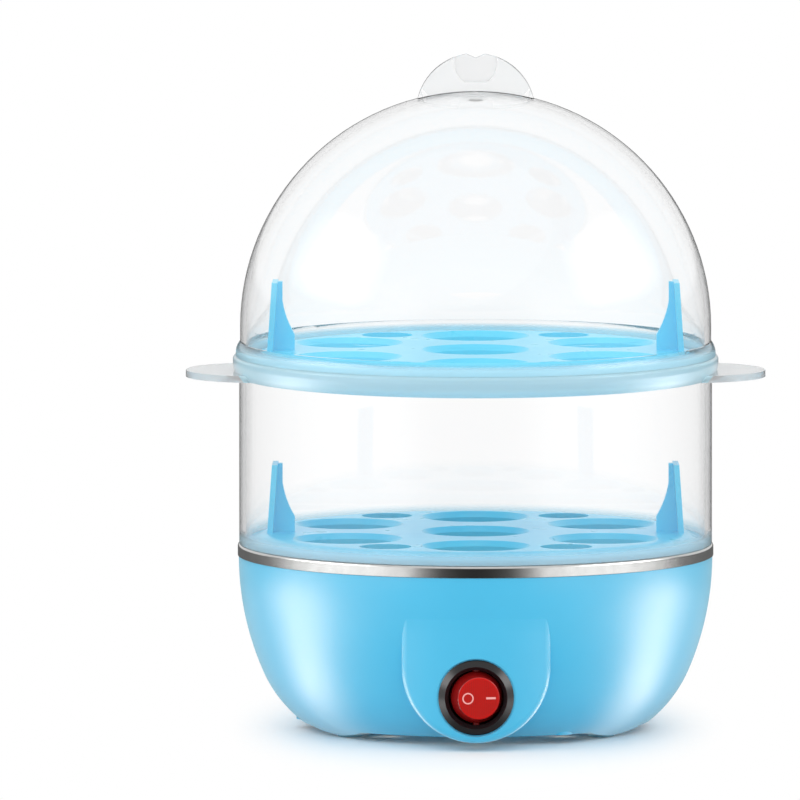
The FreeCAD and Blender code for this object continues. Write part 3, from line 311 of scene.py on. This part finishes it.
cast_skin = bare_metal("cast_aluminium", (0.56, 0.57, 0.58), (0.66, 0.67, 0.68),
                       gloss=(0.4, 0.6), scale=1200.0, stretch=(1, 1, 1))
finish_with(cast_skin, "heater_plate", "thermostat_cap")
sheath = bare_metal("element_sheath", (0.40, 0.40, 0.41), (0.52, 0.51, 0.50),
                    gloss=(0.35, 0.5), scale=800.0, stretch=(1, 1, 4))
finish_with(sheath, "heater_tube")
ceramic = moulded("white_ceramic", (0.82, 0.80, 0.74), (0.88, 0.87, 0.82),
                  gloss=(0.15, 0.3), peel=0.00002, peel_scale=800.0)
finish_with(ceramic, "heater_beads")
zinc = bare_metal("zinc_plate", (0.58, 0.58, 0.56), (0.68, 0.67, 0.62),
                  gloss=(0.22, 0.4), scale=900.0, stretch=(1, 1, 6))
finish_with(zinc, "heater_pins", "pan_standoffs", "pan_screws", "thermostat_screws", "fuse_clamp")

# Thermostat and fuse: a brown phenolic body with tinned blades under the cap, and a thermal fuse
# in a braided glass sleeve, both clamped to the spreader.

phenolic = moulded("brown_phenolic", (0.05, 0.028, 0.016), (0.075, 0.042, 0.024),
                   gloss=(0.3, 0.45), peel=0.00003, peel_scale=900.0)
finish_with(phenolic, "thermostat_body")
tinned = bare_metal("tinned_brass", (0.66, 0.62, 0.50), (0.74, 0.71, 0.62),
                    gloss=(0.25, 0.4), scale=1000.0, stretch=(1, 1, 5))
finish_with(tinned, "thermostat_terminals", "thermal_fuse", "pin_crimps")
glass_braid = moulded("glass_braid", (0.80, 0.78, 0.70), (0.68, 0.66, 0.58),
                      gloss=(0.7, 0.9), peel=0.00015, peel_scale=2200.0)
finish_with(glass_braid, "fuse_sleeve")

# Inner wiring: silicone-covered wires, brown for live, blue for neutral and white by the heater,
# with vinyl covers on the push-on connectors and nylon caps on the splices.

LIVE_BROWN = (0.16, 0.07, 0.035)
NEUTRAL_BLUE = (0.03, 0.10, 0.36)
HEATER_WHITE = (0.75, 0.75, 0.72)
WORN_SHARE = 0.85
WIRE_SHADES = {
    "switched_lead": LIVE_BROWN,
    "live_lead": LIVE_BROWN,
    "neutral_lead": NEUTRAL_BLUE,
    "element_lead": HEATER_WHITE,
    "fuse_lead": HEATER_WHITE,
}

for wire, shade in WIRE_SHADES.items():
    worn = tuple(WORN_SHARE * channel for channel in shade)
    cover = moulded(f"{wire}_silicone", shade, worn,
                    gloss=(0.35, 0.5), peel=0.00003, peel_scale=1200.0)
    finish_with(cover, wire)
vinyl = moulded("soft_vinyl", (0.74, 0.77, 0.75), (0.66, 0.70, 0.68),
                gloss=(0.25, 0.4), peel=0.00003, peel_scale=900.0)
finish_with(vinyl, "spade_connectors")
finish_with(nylon, "splice_caps")

# Cord grommet: black moulded rubber, pushed into the rear boss until its barb springs out behind
# the wall.

black_rubber = moulded("black_rubber", (0.018, 0.018, 0.019), (0.028, 0.028, 0.029),
                       gloss=(0.5, 0.7), peel=0.00005, peel_scale=1400.0)
finish_with(black_rubber, "cord_grommet")

# Bottom cover: a plain disc in the same plastic from a dull tool, held up into the base by four
# countersunk, zinc-plated screws.

dull_blue = moulded("dull_blue_abs", SKY_BLUE_DEEP, (0.045, 0.43, 0.70),
                    gloss=(0.38, 0.52), peel=0.00003, peel_scale=900.0)
finish_with(dull_blue, "bottom_cover")
finish_with(zinc, "cover_screws")

# Heating pan: pressed stainless steel on a white silicone gasket, its rim rolled over the shell
# as the bright band. It was brushed on the lathe, so its marks run around the axis.

pan_steel = bare_metal("pan_steel", (0.62, 0.62, 0.61), (0.68, 0.68, 0.67),
                       gloss=(0.09, 0.16), scale=40.0, stretch=(1, 1, 160))
finish_with(pan_steel, "heating_pan")
silicone = moulded("white_silicone", (0.72, 0.72, 0.69), (0.78, 0.78, 0.76),
                   gloss=(0.55, 0.7), peel=0.00003, peel_scale=900.0)
finish_with(silicone, "pan_gasket")

# Egg racks: one moulding in blue polypropylene for each tier, with seven bevelled egg holes, six
# steam holes and two fins to lift it by.

rack_blue = moulded("rack_blue_pp", (0.115, 0.69, 0.94), (0.100, 0.66, 0.92),
                    gloss=(0.24, 0.34), peel=0.000001, peel_scale=500.0)
finish_with(rack_blue, "lower_egg_rack", "upper_egg_rack")

# Steam ring: one clear moulding that stands on the pan's rim. Its wall is polished, and its
# collar, ledge and two flat ears have the milky look of thick, slowly cooled plastic.

COLLAR_HEIGHT = 0.0096
RING_CLEARS = (0.0017, 0.0057)
RING_CLOUD = 0.7
EAR_GAP = 0.0004
WALL_TINT = (0.997, 0.998, 0.999)
# The wall's edge colour is painted shade, which greys the clear plastic where it is seen edge on.
WALL_EDGE_SHADE = (0.42, 0.43, 0.45)
CLOUD = (0.62, 0.90, 1.0)
CLOUD_GLOSS = 0.22
CLEAR_IOR = 1.47
CLEAR_GLOSS_SCALE = 60.0
EDGE_STARTS = 0.74
EDGE_HALFWAY = 0.88


def stepped(tree, value, start, end, low=0.0, high=1.0):
    """A smooth step of a value, from low at start to high at end."""
    step = tree.nodes.new("ShaderNodeMapRange")
    step.interpolation_type = "SMOOTHSTEP"
    for socket, number in (("From Min", start), ("From Max", end), ("To Min", low), ("To Max", high)):
        step.inputs[socket].default_value = number
    tree.links.new(value, step.inputs["Value"])
    return step.outputs["Result"]


def clear_moulding(name, tint, edge_shade, gloss=(0.0, 0.02), clearness=1.0, clears_between=None, cloud=0.0):
    """Clear plastic with painted shade: its colour darkens where it is seen edge on.

    A cloudy foot clears between two heights.
    """
    material, shader = blank_material(name)
    tree = material.node_tree
    shader.inputs["Transmission Weight"].default_value = clearness
    shader.inputs["IOR"].default_value = CLEAR_IOR
    edge_on = tree.nodes.new("ShaderNodeLayerWeight")
    edge_on.inputs["Blend"].default_value = 0.5
    halfway = tuple((inner + outer) / 2 for inner, outer in zip(tint, edge_shade))
    # Painted shade: the colour turns towards the edge colour as the surface is seen more edge on.
    colour = shade_ramp(tree, edge_on.outputs["Facing"],
                        [(0.0, tint), (EDGE_STARTS, tint), (EDGE_HALFWAY, halfway), (1.0, edge_shade)])
    if clears_between:
        place = tree.nodes.new("ShaderNodeTexCoord")
        axes = tree.nodes.new("ShaderNodeSeparateXYZ")
        tree.links.new(place.outputs["Object"], axes.inputs[0])
        height = axes.outputs["Z"]
        shade = tree.nodes.new("ShaderNodeMix")
        shade.data_type = "RGBA"
        shade.inputs["B"].default_value = (*CLOUD, 1.0)
        tree.links.new(stepped(tree, height, *clears_between, cloud, 0.0), shade.inputs["Factor"])
        tree.links.new(colour, shade.inputs["A"])
        colour = shade.outputs["Result"]
        tree.links.new(stepped(tree, height, *clears_between, clearness - cloud / 2, clearness),
                       shader.inputs["Transmission Weight"])
        tree.links.new(stepped(tree, height, *clears_between, cloud * CLOUD_GLOSS, gloss[0]),
                       shader.inputs["Roughness"])
    else:
        drift_gloss(material, shader, speckle(material, CLEAR_GLOSS_SCALE), *gloss)
    tree.links.new(colour, shader.inputs["Base Color"])
    return material


ring_low, ring_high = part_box("steam_ring")
ring_wall = clear_moulding("ring_wall", WALL_TINT, WALL_EDGE_SHADE, cloud=RING_CLOUD,
                           clears_between=[ring_low.z + height for height in RING_CLEARS])
finish_with(ring_wall, "steam_ring")
milky = clear_moulding("milky_collar", CLOUD, (0.86, 0.94, 0.98), gloss=(0.16, 0.26), clearness=0.45)
finish_where("steam_ring", milky, lambda middle: middle.z > ring_high.z - COLLAR_HEIGHT)
ear_plastic = clear_moulding("ear_plastic", (0.96, 0.965, 0.97), (0.86, 0.865, 0.87),
                             gloss=(0.08, 0.14), clearness=0.6)
finish_where("steam_ring", ear_plastic, lambda middle: middle.xy.length > ring_high.y + EAR_GAP)

# Dome lid: a clear moulding with a spigot that sits in the collar and a half-disc finger tab,
# whose thumb recess is etched.

FLARE_HEIGHT = 0.0064
LID_CLEARS = (0.0031, 0.0053)
LID_CLOUD = 1.0
# The dome's edge colour is painted shade for where the dome is seen edge on.
DOME_EDGE_SHADE = (0.80, 0.81, 0.82)
TAB_HEIGHT = 0.0874
RECESS_FROM = 0.0007
RECESS_TO = 0.0011

lid_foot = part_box("dome_lid")[0].z
tab_foot = lid_foot + TAB_HEIGHT


def in_thumb_recess(middle):
    """Whether a point lies on the sunk faces of the finger tab."""
    return middle.z > tab_foot and RECESS_FROM < abs(middle.y) < RECESS_TO


clear_dome = clear_moulding("clear_dome", WALL_TINT, DOME_EDGE_SHADE)
finish_with(clear_dome, "dome_lid")
lid_flare = clear_moulding("lid_flare", WALL_TINT, (0.80, 0.86, 0.90), cloud=LID_CLOUD,
                           clears_between=[lid_foot + height for height in LID_CLEARS])
finish_where("dome_lid", lid_flare, lambda middle: middle.z < lid_foot + FLARE_HEIGHT)
tab_plastic = clear_moulding("tab_plastic", (0.955, 0.958, 0.96), (0.72, 0.73, 0.74),
                             gloss=(0.02, 0.08), clearness=0.85)
finish_where("dome_lid", tab_plastic, lambda middle: middle.z > tab_foot)
etched = clear_moulding("etched_recess", (0.925, 0.925, 0.925), (0.70, 0.70, 0.70),
                        gloss=(0.30, 0.40), clearness=0.9)
finish_where("dome_lid", etched, in_thumb_recess)

# Studio floor: a matt white sheet that keeps the cooker's shadow. It turns into plain white away
# from the cooker, sooner beside it than in front.

FLOOR_REACH = 30.0
FLOOR_DROP = 0.0002
FLOOR_WHITES = ((0.88, 0.885, 0.89), (0.90, 0.905, 0.91))
FLOOR_SHADE_SCALE = 3.0
FLOOR_NEAR = 0.085
FLOOR_FAR = 0.15
FLOOR_STRETCH = (1.8, 0.75, 1.0)


def combined(tree, operation, first, second):
    """Two values brought together. The second may be a plain number."""
    join_up = tree.nodes.new("ShaderNodeMath")
    join_up.operation = operation
    tree.links.new(first, join_up.inputs[0])
    if isinstance(second, float):
        join_up.inputs[1].default_value = second
    else:
        tree.links.new(second, join_up.inputs[1])
    return join_up.outputs[0]


def seen_straight(tree):
    """One where a surface is seen directly or through the clear walls."""
    ray = tree.nodes.new("ShaderNodeLightPath")
    return combined(tree, "MAXIMUM", ray.outputs["Is Camera Ray"], ray.outputs["Is Transmission Ray"])


floor_material, floor_shader = blank_material("studio_floor")
floor_shader.inputs["Roughness"].default_value = 0.9
floor_shader.inputs["Specular IOR Level"].default_value = 0.1
drift_colour(floor_material, floor_shader, speckle(floor_material, FLOOR_SHADE_SCALE), *FLOOR_WHITES)
floor_tree = floor_material.node_tree
spot = floor_tree.nodes.new("ShaderNodeTexCoord")
oval = floor_tree.nodes.new("ShaderNodeMapping")
oval.inputs["Scale"].default_value = FLOOR_STRETCH
floor_tree.links.new(spot.outputs["Object"], oval.inputs["Vector"])
away = floor_tree.nodes.new("ShaderNodeVectorMath")
away.operation = "LENGTH"
floor_tree.links.new(oval.outputs["Vector"], away.inputs[0])
whiteness = combined(floor_tree, "MULTIPLY", seen_straight(floor_tree),
                     stepped(floor_tree, away.outputs["Value"], FLOOR_NEAR, FLOOR_FAR))
plain_white = floor_tree.nodes.new("ShaderNodeEmission")
join = floor_tree.nodes.new("ShaderNodeMixShader")
floor_tree.links.new(whiteness, join.inputs["Fac"])
floor_tree.links.new(floor_shader.outputs[0], join.inputs[1])
floor_tree.links.new(plain_white.outputs[0], join.inputs[2])
floor_tree.links.new(join.outputs[0], floor_tree.nodes["Material Output"].inputs["Surface"])

floor_form = bmesh.new()
bmesh.ops.create_grid(floor_form, x_segments=2, y_segments=2, size=FLOOR_REACH)
floor_mesh = bpy.data.meshes.new("floor")
floor_form.to_mesh(floor_mesh)
floor_form.free()
floor_mesh.materials.append(floor_material)
floor = bpy.data.objects.new("floor", floor_mesh)
floor.location = (0.0, 0.0, -FLOOR_DROP)
floor.visible_glossy = False
bpy.context.scene.collection.objects.link(floor)

# Studio surround: an even white room lights the cooker. Only mirror rays see its soft boxes: low
# bright sides for the base, dimmer high ones for the band and the clear walls, shoulder-high ones
# for the lid and the bezel, and a dark front between them.

SURROUND = 1.05
LOW_GLOW = 6.4
LOW_TURN = math.radians(-2.5)
LOW_BEND = 0.16
BEND_HEIGHTS = (-0.28, -0.70)
HIGH_GLOW = 2.8
HIGH_TURN = math.radians(0.5)
HIGH_HEIGHTS = (-0.18, -0.12)
HORIZON_GLOW = 0.8
HORIZON_HEIGHTS = (0.0, 0.08)
HORIZON_BACK = (0.2, 0.7)
SHOULDER_GLOW = 5.0
SHOULDER_STARTS = (0.10, 0.30)
SHOULDER_ENDS = (0.75, 0.50)
OVERHEAD_GLOW = 0.85
OVERHEAD_HEIGHTS = (0.05, 0.55)
UNDER_GLOW = 0.3
UNDER_HEIGHTS = (-0.50, -0.85)

# Each stop is a place, from 0 at the front of the room to 1 at its back, and a share of the glow.

LOW_SIDES = [(0.0, 0.0), (0.117, 0.05), (0.22, 0.13), (0.30, 0.23), (0.354, 0.33), (0.43, 0.60),
             (0.509, 0.92), (0.57, 1.0), (0.638, 0.94), (0.70, 0.71), (0.757, 0.40), (0.854, 0.12),
             (1.0, 0.05)]
HIGH_SIDES = [(0.0, 0.012), (0.022, 0.04), (0.05, 0.16), (0.088, 0.40), (0.146, 0.47), (0.22, 0.48),
              (0.297, 0.48), (0.38, 0.45), (0.47, 0.36), (0.56, 0.26), (0.66, 0.15), (0.75, 0.08),
              (1.0, 0.05)]
SHOULDER_SIDES = [(0.0, 0.0), (0.15, 0.0), (0.30, 1.0), (0.50, 1.0), (0.68, 0.25), (0.80, 0.0)]

world = bpy.data.worlds.new("studio")
world.use_nodes = True
bpy.context.scene.world = world
sky = world.node_tree
direction = sky.nodes.new("ShaderNodeTexCoord")
rise = sky.nodes.new("ShaderNodeSeparateXYZ")
sky.links.new(direction.outputs["Generated"], rise.inputs[0])


def blended(tree, share, first, second):
    """A value between two, by a share. The second may be a plain number."""
    mix = tree.nodes.new("ShaderNodeMix")
    tree.links.new(share, mix.inputs["Factor"])
    tree.links.new(first, mix.inputs["A"])
    if isinstance(second, float):
        mix.inputs["B"].default_value = second
    else:
        tree.links.new(second, mix.inputs["B"])
    return mix.outputs["Result"]


def by_height(heights, high=1.0):
    """A smooth step up to a value between two heights in the room, where 1 is straight up."""
    return stepped(sky, rise.outputs["Z"], *heights, 0.0, high)


def backwardness(turn):
    """How far a level heading points to the back, from -1 to 1, with the room turned a little."""
    level = sky.nodes.new("ShaderNodeMapping")
    level.inputs["Rotation"].default_value = (0.0, 0.0, turn)
    level.inputs["Scale"].default_value = (1.0, 1.0, 0.0)
    sky.links.new(direction.outputs["Generated"], level.inputs["Vector"])
    heading = sky.nodes.new("ShaderNodeVectorMath")
    heading.operation = "NORMALIZE"
    sky.links.new(level.outputs[0], heading.inputs[0])
    axes = sky.nodes.new("ShaderNodeSeparateXYZ")
    sky.links.new(heading.outputs[0], axes.inputs[0])
    return axes.outputs["Y"]


def glow_around(stops, brightness, turn, bend=0.0):
    """A glow that changes from the front of the room to its back, and bends back low down."""
    span = sky.nodes.new("ShaderNodeMapRange")
    span.inputs["From Min"].default_value = -1.0
    sky.links.new(backwardness(turn), span.inputs["Value"])
    place = combined(sky, "SUBTRACT", span.outputs["Result"], by_height(BEND_HEIGHTS, bend))
    shades = [(stop, (share, share, share)) for stop, share in stops]
    return combined(sky, "MULTIPLY", shade_ramp(sky, place, shades), brightness)


low_boxes = glow_around(LOW_SIDES, LOW_GLOW, LOW_TURN, LOW_BEND)
high_boxes = glow_around(HIGH_SIDES, HIGH_GLOW, HIGH_TURN)
glow = blended(sky, by_height(HIGH_HEIGHTS), low_boxes, high_boxes)
horizon = combined(sky, "MULTIPLY", by_height(HORIZON_HEIGHTS),
                   stepped(sky, backwardness(LOW_TURN), *HORIZON_BACK, 0.0, HORIZON_GLOW))
glow = combined(sky, "MAXIMUM", glow, horizon)
glow = blended(sky, by_height(OVERHEAD_HEIGHTS), glow, OVERHEAD_GLOW)
glow = blended(sky, by_height(UNDER_HEIGHTS), glow, UNDER_GLOW)
shoulder_band = combined(sky, "MULTIPLY", by_height(SHOULDER_STARTS), by_height(SHOULDER_ENDS))
shoulder_boxes = combined(sky, "MULTIPLY", glow_around(SHOULDER_SIDES, SHOULDER_GLOW, HIGH_TURN),
                          shoulder_band)
glow = combined(sky, "MAXIMUM", glow, shoulder_boxes)

even_light = stepped(sky, seen_straight(sky), 0.0, 1.0, SURROUND, 1.0)
ray = sky.nodes.new("ShaderNodeLightPath")
mirrored = combined(sky, "SUBTRACT", ray.outputs["Is Glossy Ray"], ray.outputs["Is Transmission Ray"])
surround = sky.nodes["Background"]
surround.inputs["Color"].default_value = (1.0, 1.0, 1.0, 1.0)
sky.links.new(blended(sky, mirrored, even_light, glow), surround.inputs["Strength"])

# Studio lamp: one large, faint disc in front of the cooker and above it, which gives the soft
# shadow its direction.

LAMP_WIDTH = 2.6
LAMP_POWER = 5.5
LAMP_PLACE = Vector((-0.25, -0.7, 1.25))
LAMP_AIM = Vector((0.0, 0.0, 0.1))

lamp = bpy.data.lights.new("soft_lamp", "AREA")
lamp.shape = "DISK"
lamp.size = LAMP_WIDTH
lamp.energy = LAMP_POWER
soft_lamp = bpy.data.objects.new("soft_lamp", lamp)
soft_lamp.location = LAMP_PLACE
soft_lamp.rotation_euler = (LAMP_AIM - LAMP_PLACE).to_track_quat("-Z", "Y").to_euler()
soft_lamp.visible_glossy = False
bpy.context.scene.collection.objects.link(soft_lamp)

# Camera: a very long lens far in front, which looks down by a few degrees, with the cooker to the
# right of the middle. Mirror rays aren't softened, so that light passes the clear walls.

PIXELS_PER_METRE = 3050.0
FRAME_PIXELS = 800.0
AXIS_PIXEL = 475.6
AIM_HEIGHT = 0.1077
DISTANCE = 10.0
LOOK_DOWN = math.radians(5.5)
SENSOR_WIDTH = 36.0
SIGHT_LIMIT = 60.0

aim = Vector(((FRAME_PIXELS / 2 - AXIS_PIXEL) / PIXELS_PER_METRE, 0.0, AIM_HEIGHT))
camera_data = bpy.data.cameras.new("camera")
camera_data.sensor_width = SENSOR_WIDTH
camera_data.lens = SENSOR_WIDTH * DISTANCE * PIXELS_PER_METRE / FRAME_PIXELS
camera_data.clip_end = SIGHT_LIMIT
camera = bpy.data.objects.new("camera", camera_data)
camera.location = aim + Vector((0.0, -math.cos(LOOK_DOWN), math.sin(LOOK_DOWN))) * DISTANCE
camera.rotation_euler = (math.pi / 2 - LOOK_DOWN, 0.0, 0.0)
bpy.context.scene.collection.objects.link(camera)
bpy.context.scene.camera = camera

bpy.context.scene.view_settings.view_transform = "Standard"
bpy.context.scene.cycles.blur_glossy = 0.0
